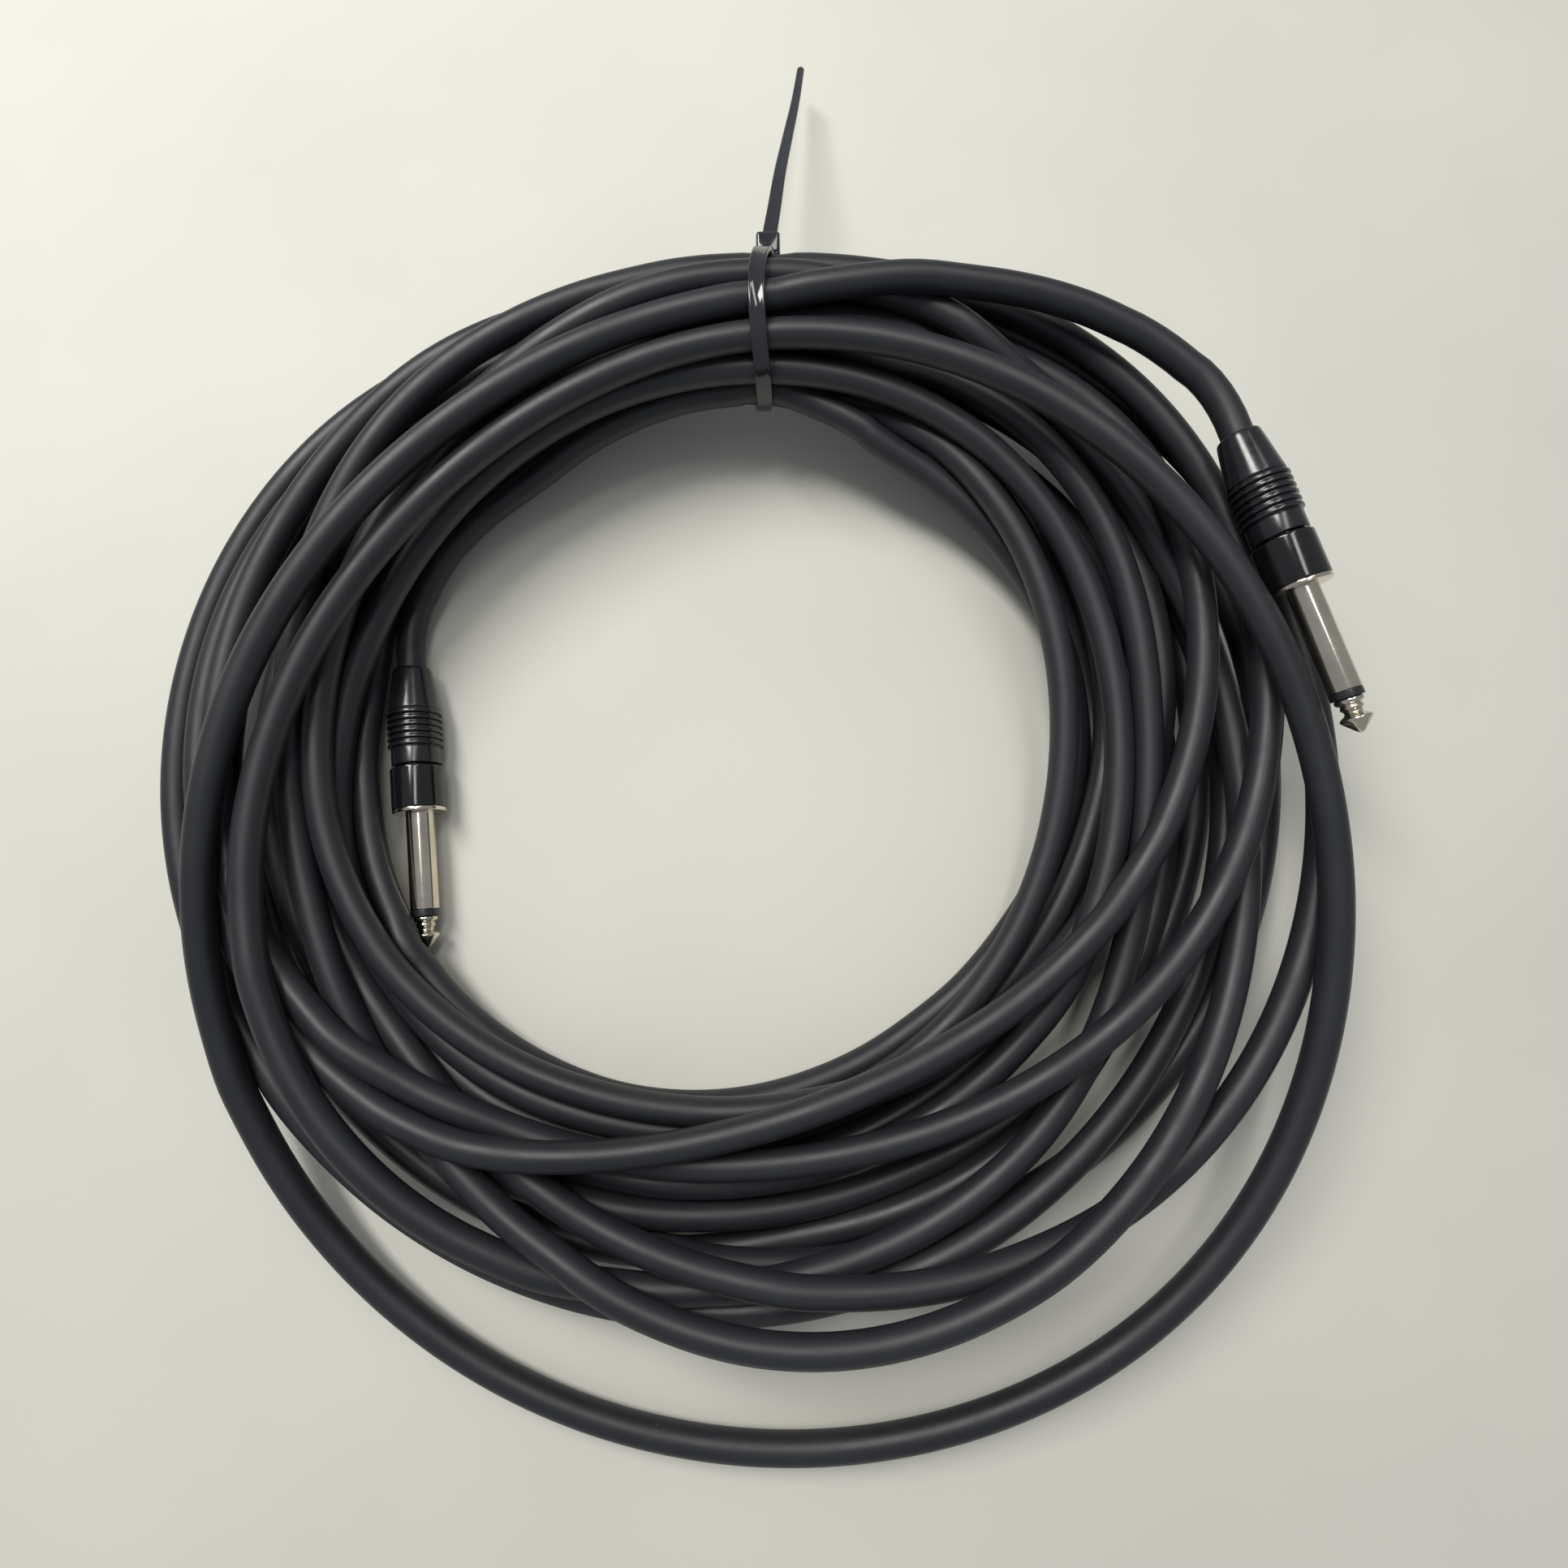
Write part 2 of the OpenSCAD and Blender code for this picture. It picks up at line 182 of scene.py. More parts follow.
def smooth_line(points, values, step):
    """Cubic curve through the points, in even steps, with the values carried along it."""
    t = np.concatenate([[0], np.cumsum(np.linalg.norm(np.diff(points, axis=0), axis=1) ** 0.5)])
    slope = np.gradient(points, t, axis=0)
    fine, carried = [], []
    for i in range(len(points) - 1):
        h = t[i + 1] - t[i]
        u = np.linspace(0, 1, 30, endpoint=False)[:, None]
        fine.append((2 * u**3 - 3 * u**2 + 1) * points[i] + (u**3 - 2 * u**2 + u) * h * slope[i]
                    + (3 * u**2 - 2 * u**3) * points[i + 1] + (u**3 - u**2) * h * slope[i + 1])
        carried.append(values[i] + (values[i + 1] - values[i]) * u[:, 0])
    fine = np.vstack(fine + [points[-1:]])
    carried = np.concatenate(carried + [values[-1:]])
    s = along(fine)
    even = np.linspace(0, s[-1], int(round(s[-1] / step)) + 1)
    line = np.stack([np.interp(even, s, fine[:, c]) for c in range(3)], 1)
    return line, np.interp(even, s, carried)


def near_pairs(line, reach, gap):
    """Pairs of points closer than reach that are more than gap points apart along the cable."""
    found = []
    size = (line**2).sum(1)
    for a in range(0, len(line), 500):
        part = line[a:a + 500]
        i, j = np.nonzero(size[a:a + 500, None] + size[None] - 2 * part @ line.T < reach * reach)
        i = i + a
        keep = j - i > gap
        found.append(np.stack([i[keep], j[keep]], 1))
    return np.vstack(found)


def plug_beads():
    """The plugs' bodies as rows of balls, which the cable stays clear of."""
    centres, radii = [], []
    for side in PLUGS:
        for start, end, r in ((0, 31.75, 3.2), (-30, 0, 6.25), (-36, -30, 5.6), (-41, -36, 4.8)):
            for x in np.arange(start, end, 2.0):
                centres.append(on_axis(side, x))
                radii.append(r)
    return np.array(centres), np.array(radii)


BEND_SCALES = (1, 2, 4, 7, 10)  # in points, how far apart the cable's stiffness compares them
FIXED = 11  # points at each end that stay in the plug
EASE = 14  # points beyond those over which the stiffness comes in
OWN_PLUG = {"a": 42, "b": 58}  # points from each end that may touch the plug they lead to
TOUCH_GAP = 0.03
PLUG_GAP = 0.3
LOOK_AHEAD = 3.0
SPREAD = np.array([1, 2, 3, 2, 1]) / 9 * 1.7  # shares a push at one point out over its neighbours
ROUNDS = 300


def stiffen(line, amount, loose):
    """Straightens each bend a little, over short and long stretches."""
    for k in BEND_SCALES:
        bend = np.zeros_like(line)
        bend[2 * k:-2 * k] = (line[:-4 * k] - 4 * line[k:-3 * k] + 6 * line[2 * k:-2 * k]
                              - 4 * line[3 * k:-k] + line[4 * k:]) / 16
        line -= amount * bend * loose


def push_apart(line, pairs, free):
    """Moves strands that run into each other apart."""
    i, j = pairs.T
    across = line[i] - line[j]
    apart = np.linalg.norm(across, axis=1) + 1e-9
    close = apart < CABLE_D + TOUCH_GAP
    i, j = i[close], j[close]
    push = across[close] * ((CABLE_D + TOUCH_GAP - apart[close]) * 0.35 / apart[close])[:, None]
    count = len(line)
    shared = np.maximum(np.bincount(i, minlength=count) + np.bincount(j, minlength=count), 1) ** 0.5
    move = np.stack([np.bincount(i, push[:, c], count) - np.bincount(j, push[:, c], count)
                     for c in range(3)], 1) / shared[:, None]
    line += np.stack([np.convolve(move[:, c], SPREAD, "same") for c in range(3)], 1) * free


def push_off_plugs(line, points, centres, radii, free):
    """Moves the given points away from the balls that they are listed with."""
    if not len(points):
        return
    across = line[points] - centres
    apart = np.linalg.norm(across, axis=1) + 1e-9
    push = across * (np.clip(radii + CABLE_R + PLUG_GAP - apart, 0, None) * 0.7 / apart)[:, None]
    count = len(line)
    shared = np.maximum(np.bincount(points, minlength=count), 1)
    line += np.stack([np.bincount(points, push[:, c], count) for c in range(3)], 1) / shared[:, None] * free


def hold_in_tie(line):
    """Keeps the bundle round in the tie, and in a widening funnel on both sides of it."""
    out = line[:, :2] - POLE
    reach = np.linalg.norm(out, axis=1)
    angle = np.degrees(np.arctan2(out[:, 1], out[:, 0]))
    past = np.abs(angle - TIE_ANGLE) - TIE_HOLDS
    room = BUNDLE_R - CABLE_R + TIE_SPREAD * np.clip(past, 0, None)
    from_axis = np.stack([reach - BUNDLE[0], line[:, 2] - BUNDLE[1]], 1)
    off = np.linalg.norm(from_axis, axis=1) + 1e-9
    back = -from_axis * (np.clip(off - room, 0, None) * (past < TIE_REACH) / off)[:, None]
    line[:, :2] += out / reach[:, None] * back[:, :1]
    line[:, 2] += back[:, 1]


def settle(line, hold):
    """Lets the planned line find its place as a springy cord that lies on itself and on the floor."""
    order = np.arange(len(line))
    from_end = np.minimum(order, order[::-1])
    free = (from_end >= FIXED).astype(float)[:, None]
    loose = np.clip((from_end - FIXED + 1) / EASE, 0, 1)[:, None]
    wanted = line.copy()
    for _ in range(60):
        stiffen(line, 0.9, loose)
        line += hold[:, None] * (wanted - line) * free
    wanted = line.copy()
    centres, radii = plug_beads()
    may_touch = (order < OWN_PLUG["a"]) | (order > len(line) - OWN_PLUG["b"])
    for n in range(ROUNDS):
        late = n / ROUNDS
        if n % 8 == 0:
            pairs = near_pairs(line, CABLE_D + LOOK_AHEAD, int(3 * CABLE_D / STEP))
            away = np.linalg.norm(line[None] - centres[:, None], axis=2)
            beads, points = np.nonzero((away < radii[:, None] + CABLE_R + LOOK_AHEAD) & ~may_touch)
        stiffen(line, 0.54 if late < 0.85 else 0.27, loose)
        pull = np.maximum(0.03, hold * 0.5)[:, None] * (1 - 0.7 * late)
        line += pull * (wanted - line) * free
        if late < 0.9:
            line[:, 2] -= 0.01 * free[:, 0]
        for _ in range(3):
            push_apart(line, pairs, free)
            push_off_plugs(line, points, centres[beads], radii[beads], free)
            line[:, 2] = np.maximum(line[:, 2], CABLE_R)
            hold_in_tie(line)
    return line


cable_line = settle(*smooth_line(*plan(), STEP))


def tube(name, path, radius, sides):
    """A round tube along a path, with its rings carried along without twist, and closed ends."""
    points = [Vector(p) for p in path]
    bm = bmesh.new()
    side = Vector((0, 0, 1))
    rings = []
    for i, here in enumerate(points):
        ahead = (points[min(i + 1, len(points) - 1)] - points[max(i - 1, 0)]).normalized()
        side = (side - ahead * side.dot(ahead)).normalized()
        other = ahead.cross(side)
        rings.append([bm.verts.new(here + radius * (math.cos(a) * side + math.sin(a) * other))
                      for a in (2 * math.pi * k / sides for k in range(sides))])
    for a, b in zip(rings, rings[1:]):
        for k in range(sides):
            bm.faces.new((a[k], a[(k + 1) % sides], b[(k + 1) % sides], b[k])).smooth = True
    bm.faces.new(rings[0][::-1])
    bm.faces.new(rings[-1])
    mesh = bpy.data.meshes.new(name)
    bm.to_mesh(mesh)
    bm.free()
    return bpy.data.objects.new(name, mesh)


cable_path = to_scene(cable_line)
cable = tube("cable", cable_path, CABLE_R * MM, 20)
bpy.context.scene.collection.objects.link(cable)
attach(cable, "root")
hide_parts("cable_coil", "outer_loop", "lead_a", "lead_b", "cable_end_a", "cable_end_b")

# ---------------------------------------------------------------- materials


class Look:
    """A material with its shader, and short ways to add the nodes round it."""

    def __init__(self, name, **sockets):
        self.material = bpy.data.materials.new(name)
        self.material.use_nodes = True
        self.nodes = self.material.node_tree.nodes
        self.links = self.material.node_tree.links
        self.shader = self.nodes["Principled BSDF"]
        self.place = self.nodes.new("ShaderNodeTexCoord").outputs["Object"]
        for key, value in sockets.items():
            self.shader.inputs[key.replace("_", " ")].default_value = value

    def stretched(self, scale):
        node = self.nodes.new("ShaderNodeMapping")
        node.inputs["Scale"].default_value = scale
        self.links.new(self.place, node.inputs["Vector"])
        return node.outputs["Vector"]

    def noise(self, scale, detail=3.0, roughness=0.5, stretch=None):
        node = self.nodes.new("ShaderNodeTexNoise")
        node.inputs["Scale"].default_value = scale
        node.inputs["Detail"].default_value = detail
        node.inputs["Roughness"].default_value = roughness
        self.links.new(self.stretched(stretch) if stretch else self.place, node.inputs["Vector"])
        return node.outputs["Fac"]

    def ramp(self, value, stops):
        node = self.nodes.new("ShaderNodeValToRGB")
        ramp = node.color_ramp
        while len(ramp.elements) < len(stops):
            ramp.elements.new(0.5)
        for element, (at, colour) in zip(ramp.elements, stops):
            element.position = at
            element.color = (*colour, 1.0) if isinstance(colour, tuple) else (colour, colour, colour, 1.0)
        self.links.new(value, node.inputs["Fac"])
        return node.outputs["Color"]

    def spread(self, value, low, high, start=0.3, end=0.7):
        node = self.nodes.new("ShaderNodeMapRange")
        for name, number in (("From Min", start), ("From Max", end), ("To Min", low), ("To Max", high)):
            node.inputs[name].default_value = number
        self.links.new(value, node.inputs["Value"])
        return node.outputs["Result"]

    def mix(self, share, a, colour):
        node = self.nodes.new("ShaderNodeMix")
        node.data_type = "RGBA"
        self.links.new(share, node.inputs["Factor"])
        self.links.new(a, node.inputs["A"])
        node.inputs["B"].default_value = (*colour, 1.0)
        return node.outputs["Result"]

    def to(self, socket, output):
        self.links.new(output, self.shader.inputs[socket])

    def bump(self, value, strength, distance):
        node = self.nodes.new("ShaderNodeBump")
        node.inputs["Strength"].default_value = strength
        node.inputs["Distance"].default_value = distance
        self.links.new(value, node.inputs["Height"])
        last = self.shader.inputs["Normal"].links
        if last:
            self.links.new(last[0].from_socket, node.inputs["Normal"])
        self.links.new(node.outputs["Normal"], self.shader.inputs["Normal"])


def make_jacket():
    """Satin black PVC, a little uneven, with specks of dust."""
    look = Look("jacket", Specular_IOR_Level=0.4)
    wide = look.ramp(look.noise(22, 4), [(0.3, (0.015, 0.016, 0.019)), (0.7, (0.023, 0.024, 0.028))])
    dust = look.ramp(look.noise(1500, 2, 0.6), [(0.72, 0.0), (0.8, 1.0)])
    look.to("Base Color", look.mix(dust, wide, (0.07, 0.07, 0.065)))
    look.to("Roughness", look.spread(look.noise(90, 4, 0.6), 0.38, 0.5))
    look.bump(look.noise(60, 3), 0.15, 0.0006)
    look.bump(look.noise(2600, 2, 0.6), 0.12, 0.00005)
    return look.material


def make_nickel():
    """Warm nickel plate with fine marks from turning on the lathe."""
    look = Look("nickel", Metallic=1.0)
    stops = [(0.3, (0.60, 0.54, 0.44)), (0.7, (0.74, 0.68, 0.57))]
    look.to("Base Color", look.ramp(look.noise(120, 4), stops))
    turning = look.noise(1.0, 3, 0.7, stretch=(5200, 60, 60))
    look.to("Roughness", look.spread(turning, 0.10, 0.20))
    look.bump(turning, 0.05, 0.00002)
    return look.material


def make_plastic(name, dark, light, rough, grain=0.05, size=900):
    """Moulded plastic."""
    look = Look(name, Specular_IOR_Level=0.6)
    look.to("Base Color", look.ramp(look.noise(140, 4), [(0.3, dark), (0.7, light)]))
    look.to("Roughness", look.spread(look.noise(420, 4, 0.6), *rough))
    look.bump(look.noise(size, 3, 0.6), grain, 0.00006)
    return look.material


def make_metal(name, dark, light, rough):
    """Bare metal with an uneven finish."""
    look = Look(name, Metallic=1.0)
    look.to("Base Color", look.ramp(look.noise(700, 4), [(0.3, dark), (0.7, light)]))
    look.to("Roughness", look.spread(look.noise(1400, 3), *rough))
    look.bump(look.noise(2200, 3), 0.08, 0.00004)
    return look.material


def make_floor():
    """Plain pale board."""
    look = Look("floor")
    stops = [(0.35, (0.66, 0.65, 0.585)), (0.65, (0.70, 0.69, 0.62))]
    look.to("Base Color", look.ramp(look.noise(9, 3), stops))
    look.to("Roughness", look.spread(look.noise(40, 3), 0.82, 0.92))
    look.bump(look.noise(1200, 2), 0.1, 0.0002)
    return look.material


# Darkest and lightest colour, and the range of roughness; for some, the strength and the scale of the grain
PLASTICS = {
    "ring_plastic": ((0.010, 0.010, 0.011), (0.016, 0.016, 0.017), (0.22, 0.32)),
    "shell_gloss": ((0.005, 0.005, 0.006), (0.008, 0.008, 0.009), (0.09, 0.16), 0.02),
    "boot_plastic": ((0.008, 0.008, 0.010), (0.013, 0.013, 0.016), (0.16, 0.26), 0.05),
    "chuck_plastic": ((0.12, 0.12, 0.12), (0.18, 0.18, 0.18), (0.4, 0.55)),
    "insulator_plastic": ((0.74, 0.70, 0.58), (0.82, 0.78, 0.66), (0.35, 0.5)),
    "washer_board": ((0.16, 0.075, 0.035), (0.28, 0.14, 0.07), (0.6, 0.75), 0.2, 1800),
    "core_insulation": ((0.74, 0.74, 0.71), (0.84, 0.84, 0.82), (0.4, 0.5)),
    "tie_nylon": ((0.016, 0.017, 0.020), (0.026, 0.027, 0.031), (0.07, 0.13), 0.02),
}
METALS = {
    "tag_metal": ((0.55, 0.54, 0.50), (0.72, 0.70, 0.66), (0.22, 0.38)),
    "copper": ((0.55, 0.27, 0.15), (0.78, 0.42, 0.25), (0.25, 0.4)),
    "solder_metal": ((0.5, 0.5, 0.5), (0.68, 0.68, 0.67), (0.2, 0.45)),
}
LOOKS = {"jacket": make_jacket(), "nickel": make_nickel()}
LOOKS.update({name: make_plastic(name, *look) for name, look in PLASTICS.items()})
LOOKS.update({name: make_metal(name, *look) for name, look in METALS.items()})

cable.data.materials.append(LOOKS["jacket"])

for part in frame["record"]["subparts"]:
    mesh = frame["nodes"][part["node"]].data
    mesh.materials.clear()
    mesh.materials.append(LOOKS[part["material_slot"]])

# ---------------------------------------------------------------- plugs


def new_piece(name, bm, slot, body, replaced, matrix=None):
    """A smooth piece that rides on a body and takes the place of CAD nodes."""
    mesh = bpy.data.meshes.new(name)
    bmesh.ops.recalc_face_normals(bm, faces=bm.faces)
    for face in bm.faces:
        face.smooth = True
    bm.to_mesh(mesh)
    bm.free()
    piece = bpy.data.objects.new(name, mesh)
    if matrix is not None:
        piece.matrix_world = matrix
    bpy.context.scene.collection.objects.link(piece)
    mesh.materials.append(LOOKS[slot])
    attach(piece, body)
    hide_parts(*replaced)


def rounded(profile, steps=5):
    """Profile of (x, radius, fillet) corners, with each fillet drawn as an arc."""
    points = []
    for i, (x, r, fillet) in enumerate(profile):
        here = np.array([x, r])
        if fillet == 0 or i in (0, len(profile) - 1):
            points.append(here)
            continue
        before = np.array(profile[i - 1][:2]) - here
        after = np.array(profile[i + 1][:2]) - here
        a = here + before / np.linalg.norm(before) * min(fillet, np.linalg.norm(before) * 0.49)
        b = here + after / np.linalg.norm(after) * min(fillet, np.linalg.norm(after) * 0.49)
        for s in np.linspace(0, 1, steps):
            points.append((1 - s) ** 2 * a + 2 * s * (1 - s) * here + s * s * b)
    return points


def lathe(profile, sides=96):
    """Solid turned about X from a closed profile that starts and ends on the axis or joins itself."""
    bm = bmesh.new()
    rings = []
    for x, r in rounded(profile):
        if r < 1e-6:
            rings.append([bm.verts.new((x * MM, 0, 0))])
        else:
            rings.append([bm.verts.new((x * MM, r * MM * math.cos(2 * math.pi * k / sides),
                                        r * MM * math.sin(2 * math.pi * k / sides))) for k in range(sides)])
    pairs = list(zip(rings, rings[1:]))
    if len(rings[0]) > 1:
        pairs.append((rings[-1], rings[0]))
    for a, b in pairs:
        for k in range(sides):
            l = (k + 1) % sides
            if len(a) == 1:
                bm.faces.new((a[0], b[l], b[k]))
            elif len(b) == 1:
                bm.faces.new((a[k], a[l], b[0]))
            else:
                bm.faces.new((a[k], a[l], b[l], b[k]))
    return bm


def grip_profile():
    """The boot nut's outline from its smooth band, over the grip rings, down the taper."""
    outline = [(-11.4, 4.85, 0), (-11.4, 5.45, 0.12), (-11.55, 5.62, 0.1), (-15.3, 5.62, 0.12)]
    pitch = 9.2 / 6
    for i in range(6):
        x = -15.4 - i * pitch
        outline += [(x - 0.05, 5.45, 0.1), (x - 0.3, 5.5, 0.12), (x - 0.42, 6.18, 0.16),
                    (x - 1.1, 6.18, 0.16), (x - 1.24, 5.5, 0.12)]
    outline += [(-24.7, 5.6, 0.2), (-24.95, 5.86, 0.2), (-25.4, 5.8, 0.3), (-34.6, 4.42, 0.5),
                (-35.35, 4.2, 0.5), (-35.4, 3.68, 0.1), (-35.2, 3.5, 0.1), (-16.5, 3.5, 0), (-16.3, 4.85, 0)]
    return outline


def spigot_thread(bm):
    """A 1 mm thread round the shell's spigot."""
    turns, steps = 5.2, 48
    section = [(-0.42, 4.48), (-0.12, 4.78), (0.12, 4.78), (0.42, 4.48)]
    rows = []
    for s in range(int(turns * steps) + 1):
        t = 2 * math.pi * s / steps
        fade = min(1.0, s / 12, (turns * steps - s) / 12)
        rows.append([bm.verts.new(((-10.95 - s / steps + x) * MM,
                                   (4.44 + (r - 4.44) * fade) * MM * math.cos(t),
                                   (4.44 + (r - 4.44) * fade) * MM * math.sin(t))) for x, r in section])
    for a, b in zip(rows, rows[1:]):
        for k in range(3):
            bm.faces.new((a[k], a[k + 1], b[k + 1], b[k]))
    return bm


# Outlines of the turned pieces: place along the plug's axis from its flange, radius and fillet
SLEEVE = [(-4, 0, 0), (-4, 4.5, 0), (-1, 4.5, 0), (-1, 5.75, 0.1), (-0.85, 6.0, 0.15), (-0.12, 6.0, 0.15),
          (0, 5.8, 0.15), (0, 3.3, 0.12), (0.2, 3.175, 0.12), (22.62, 3.175, 0.1), (22.78, 3.0, 0.1),
          (22.78, 0, 0)]
RING = [(22.8, 0, 0), (22.8, 3.1, 0.05), (22.84, 3.13, 0.05), (24.24, 3.13, 0.05), (24.3, 3.07, 0.05),
        (24.3, 0, 0)]
TIP = [(24.31, 0, 0), (24.31, 2.35, 0.1), (24.45, 2.62, 0.2), (24.95, 2.72, 0.3), (25.4, 2.5, 0.3),
       (25.6, 2.05, 0.2), (25.85, 1.9, 0.15), (26.1, 2.12, 0.15), (26.55, 2.12, 0.2), (26.9, 1.75, 0.3),
       (27.3, 1.6, 0.3), (27.7, 1.85, 0.4), (28.15, 2.55, 0.3), (28.45, 2.92, 0.2), (28.8, 2.98, 0.2),
       (29.1, 2.8, 0.25), (31.25, 0.85, 0.5), (31.6, 0.42, 0.2), (31.75, 0, 0)]
SHELL = [(-16.4, 3.9, 0), (-16.4, 4.3, 0.15), (-16.25, 4.45, 0.15), (-10.85, 4.45, 0), (-10.8, 5.5, 0.1),
         (-10.72, 5.98, 0.12), (-10.5, 6.05, 0.15), (-1.15, 6.05, 0.12), (-1.0, 5.9, 0.1), (-1.0, 4.6, 0),
         (-4, 4.6, 0), (-4.5, 3.9, 0)]

for side, (at, turn) in PLUGS.items():
    where = Matrix.Translation(to_scene(at)) @ Matrix.Rotation(math.radians(turn), 4, "Z")
    shell = spigot_thread(lathe(SHELL))
    new_piece("plug_sleeve_" + side, lathe(SLEEVE), "nickel", "root", ["sleeve_" + side], where)
    new_piece("plug_ring_" + side, lathe(RING), "ring_plastic", "root", ["tip_ring_" + side], where)
    new_piece("plug_tip_" + side, lathe(TIP), "nickel", "root", ["tip_" + side], where)
    new_piece("plug_shell_" + side, shell, "shell_gloss", "root", ["front_shell_" + side], where)
    boot = "boot_" + side
    new_piece("plug_" + boot, lathe(grip_profile()), "boot_plastic", boot, [boot], where)

# ---------------------------------------------------------------- cable tie

TIE_AT = np.array([2.0, 68.0, 26.0])
LOOP_R = BUNDLE_R + 0.1
STRAP = (3.6, 1.1)
HEAD_ANGLE = math.radians(12)


def strap_section(width, thick, recess):
    """Rounded strap outline with a shallow channel down its outer face, as (across, up) points."""
    w, t, c = width / 2, thick / 2, 0.22
    outline = [(-w + c, -t), (w - c, -t), (w - c * 0.3, -t + c * 0.3), (w, -t + c), (w, t - c),
               (w - c * 0.3, t - c * 0.3), (w - c, t), (w - 0.55, t), (w - 0.72, t - recess),
               (-w + 0.72, t - recess), (-w + 0.55, t), (-w + c, t), (-w + c * 0.3, t - c * 0.3), (-w, t - c),
               (-w, -t + c), (-w + c * 0.3, -t + c * 0.3)]
    return outline


def sweep(bm, centres, ups, sections, acrosses):
    """A closed bar through the centres, with a section at each."""
    rings = [[bm.verts.new(to_scene(c + a * p[0] + u * p[1])) for p in section]
             for c, u, a, section in zip(centres, ups, acrosses, sections)]
    n = len(rings[0])
    for a, b in zip(rings, rings[1:]):
        for k in range(n):
            bm.faces.new((a[k], a[(k + 1) % n], b[(k + 1) % n], b[k]))
    bm.faces.new(rings[0][::-1])
    bm.faces.new(rings[-1])


def lean(t):
    """How far the strap leans along the bundle, at an angle round it."""
    return np.array([0.4 * math.cos(t) + 0.9 * math.cos(2 * t), 0, 0])


def make_strap():
    """The strap round the bundle, from the head back into it."""
    bm = bmesh.new()
    steps = 120
    centres, ups, acrosses, sections = [], [], [], []
    for s in range(steps + 1):
        t = math.radians(14 + 352 * s / steps)
        up = np.array([0, math.cos(t), math.sin(t)])
        centres.append(TIE_AT + up * (LOOP_R + STRAP[1] / 2) + lean(t))
        ups.append(up)
        acrosses.append(np.array([1.0, 0, 0]))
        sections.append(strap_section(*STRAP, 0.08))
    sweep(bm, centres, ups, sections, acrosses)
    return bm


def make_tail():
    """The tie's free end: a strap that tapers to a round tip, with teeth on its inner face."""
    route = np.array([[3.2, 85, 31.2], [3.6, 89.5, 30.2], [4.6, 98, 28.4], [6, 112, 24.6], [8, 128, 19.6],
                      [10, 144, 14.4], [11.6, 160, 9.6]], float)
    line, _ = smooth_line(route, np.zeros(len(route)), 0.6)
    length = along(line)
    bm = bmesh.new()
    tangent = np.gradient(line, axis=0)
    tangent /= np.linalg.norm(tangent, axis=1)[:, None]
    across = np.cross(tangent, [0, 0, 1.0])
    across /= np.linalg.norm(across, axis=1)[:, None]
    up = np.cross(across, tangent)
    sections = []
    for i, s in enumerate(length):
        share = s / length[-1]
        width = 3.5 - 1.6 * share
        left = length[-1] - s
        if left < 1.0:
            width *= math.sqrt(max(0.03, 1 - (1 - left / 1.0) ** 2))
        ridge = 0.1 if (int(s / 0.6) % 2 == 0 and s < length[-1] * 0.82) else 0.0
        section = strap_section(width, 1.05 - 0.3 * share, 0.05) if width > 1.8 else \
            [(x * width / 1.9, y) for x, y in strap_section(1.9, 1.05 - 0.3 * share, 0.05)]
        sections.append([(x, y + (ridge if y < 0 and abs(x) < width * 0.36 else 0)) for x, y in section])
    sweep(bm, line, up, sections, across)
    return bm


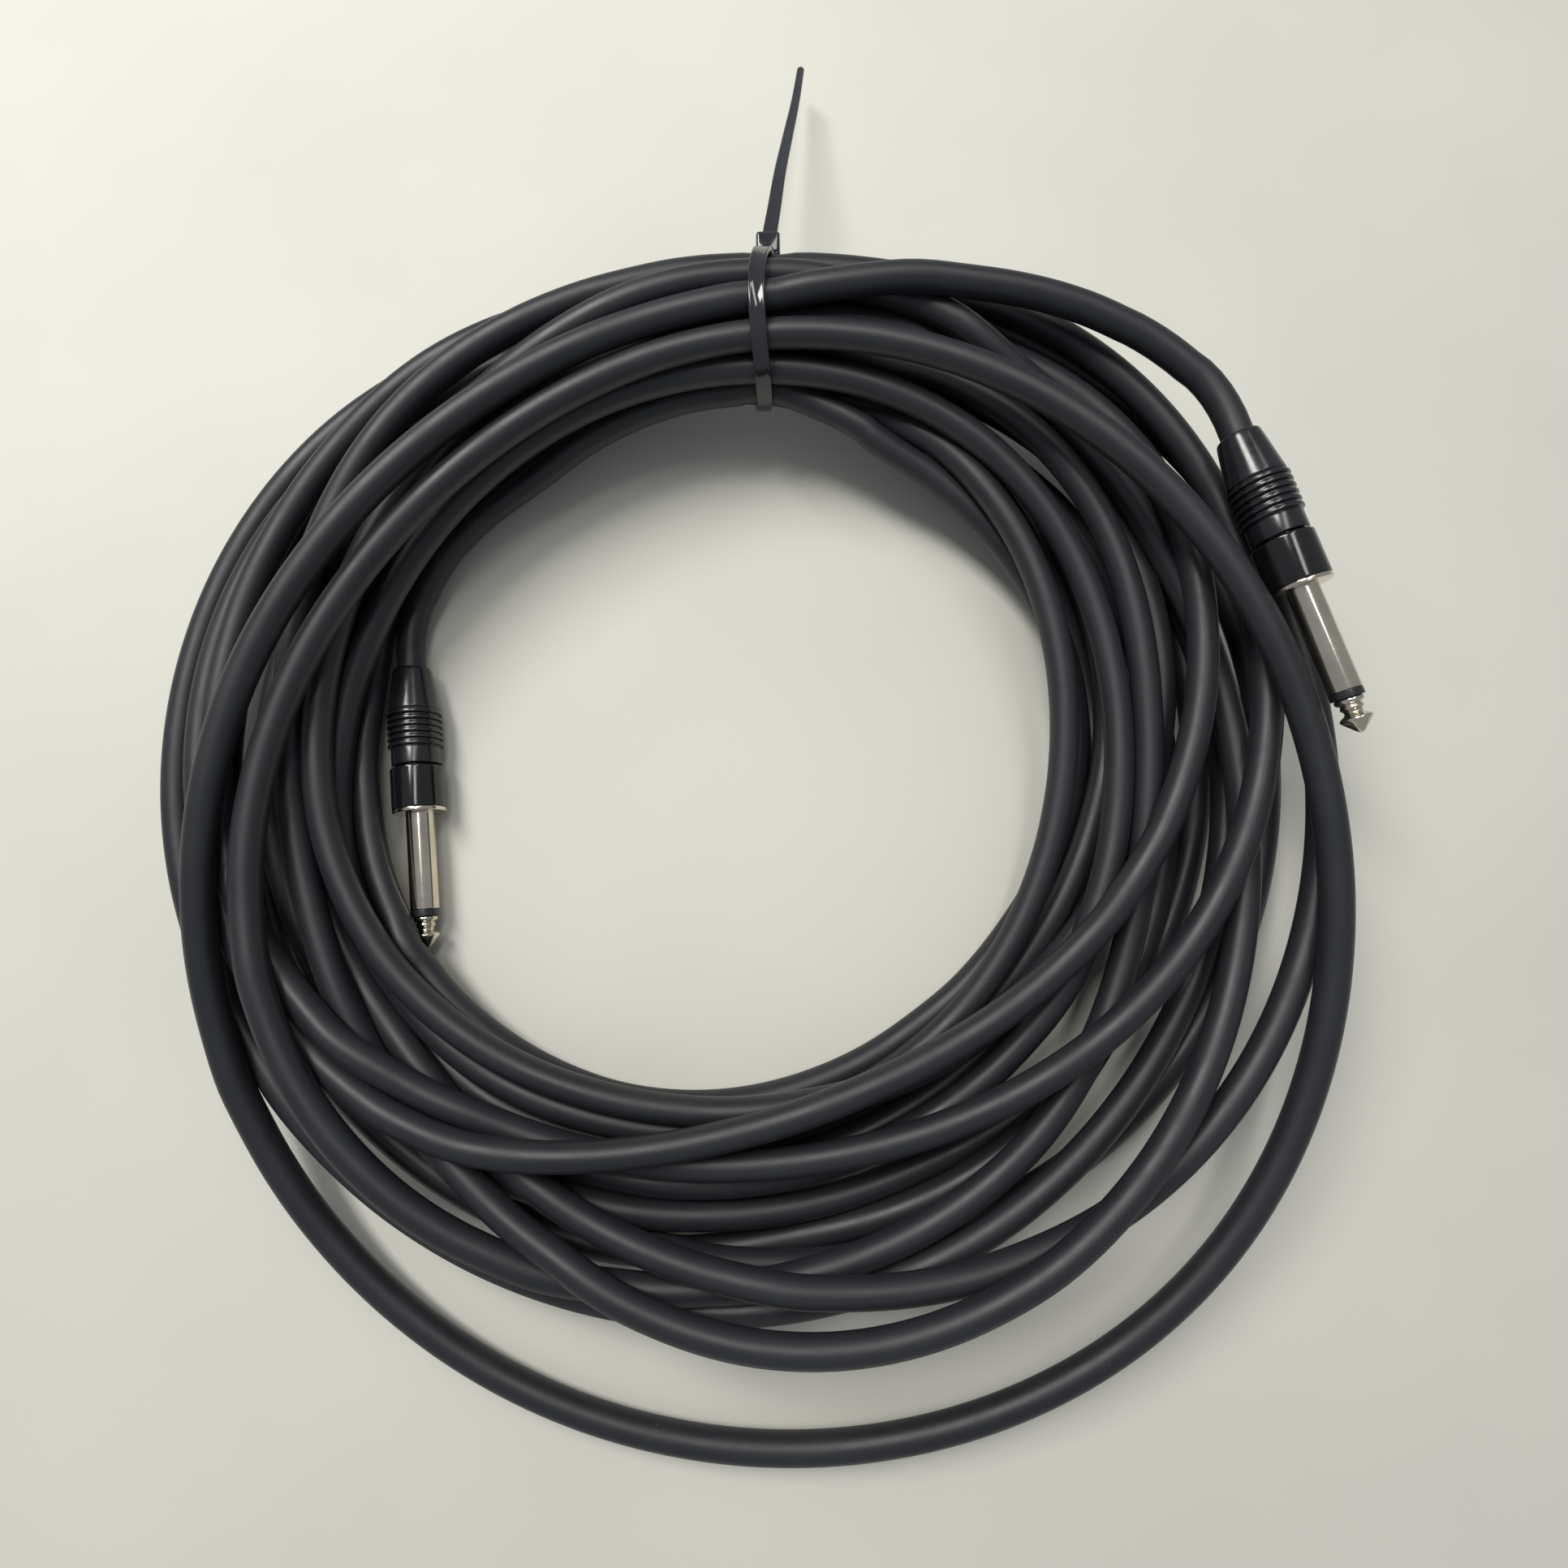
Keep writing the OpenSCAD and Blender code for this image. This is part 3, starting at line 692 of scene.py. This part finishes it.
def make_head():
    """The tie's head: a block with rounded edges that narrows at both ends."""
    bm = bmesh.new()
    grid = [(-2.8, -2.5), (2.8, -2.5), (2.8, 2.5), (-2.8, 2.5)]
    rings = []
    for z, k in ((-2.3, 0.9), (-1.9, 1.0), (1.6, 1.0), (2.3, 0.88)):
        rings.append([bm.verts.new((x * k * MM, y * k * MM, z * MM)) for x, y in grid])
    for a, b in zip(rings, rings[1:]):
        for k in range(4):
            bm.faces.new((a[k], a[(k + 1) % 4], b[(k + 1) % 4], b[k]))
    bm.faces.new(rings[0][::-1])
    bm.faces.new(rings[-1])
    bmesh.ops.bevel(bm, geom=list(bm.edges), offset=0.45 * MM, segments=3, profile=0.5, affect="EDGES")
    return bm


new_piece("tie_strap", make_strap(), "tie_nylon", "root", ["cable_tie"])
new_piece("tie_tail", make_tail(), "tie_nylon", "root", ["cable_tie"])
head_up = np.array([0, math.cos(HEAD_ANGLE), math.sin(HEAD_ANGLE)])
head_at = TIE_AT + (LOOP_R + STRAP[1] + 2.2) * head_up + lean(0)
new_piece("tie_head", make_head(), "tie_nylon", "root", ["cable_tie"],
          Matrix.Translation(to_scene(head_at)) @ Matrix.Rotation(HEAD_ANGLE, 4, "X"))

tuple(to_scene(on_axis("a", BOOT_END)))

# ---------------------------------------------------------------- floor and light

floor_mesh = bpy.data.meshes.new("floor")
floor_mesh.from_pydata([(-4, -4, 0), (4, -4, 0), (4, 4, 0), (-4, 4, 0)], [], [(0, 1, 2, 3)])
floor_mesh.materials.append(make_floor())
floor = bpy.data.objects.new("floor", floor_mesh)
bpy.context.scene.collection.objects.link(floor)


def area_light(name, at, size, power, colour):
    """A rectangular lamp that faces the middle of the coil's floor."""
    data = bpy.data.lights.new(name, "AREA")
    data.shape = "RECTANGLE"
    data.size, data.size_y = size
    data.energy = power
    data.color = colour
    light = bpy.data.objects.new(name, data)
    light.location = at
    light.rotation_euler = (-Vector(at)).to_track_quat("-Z", "Y").to_euler()
    bpy.context.scene.collection.objects.link(light)


area_light("overhead", (-0.32, 0.34, 0.72), (0.2, 0.5), 5.6, (1.0, 0.985, 0.95))
area_light("second", (0.16, 0.34, 1.0), (0.14, 0.7), 2.3, (1.0, 0.98, 0.94))
world = bpy.data.worlds.new("world")
world.use_nodes = True
world.node_tree.nodes["Background"].inputs["Color"].default_value = (0.9, 0.94, 1.0, 1.0)
world.node_tree.nodes["Background"].inputs["Strength"].default_value = 0.33
bpy.context.scene.world = world
bpy.context.scene.view_settings.view_transform = "Standard"
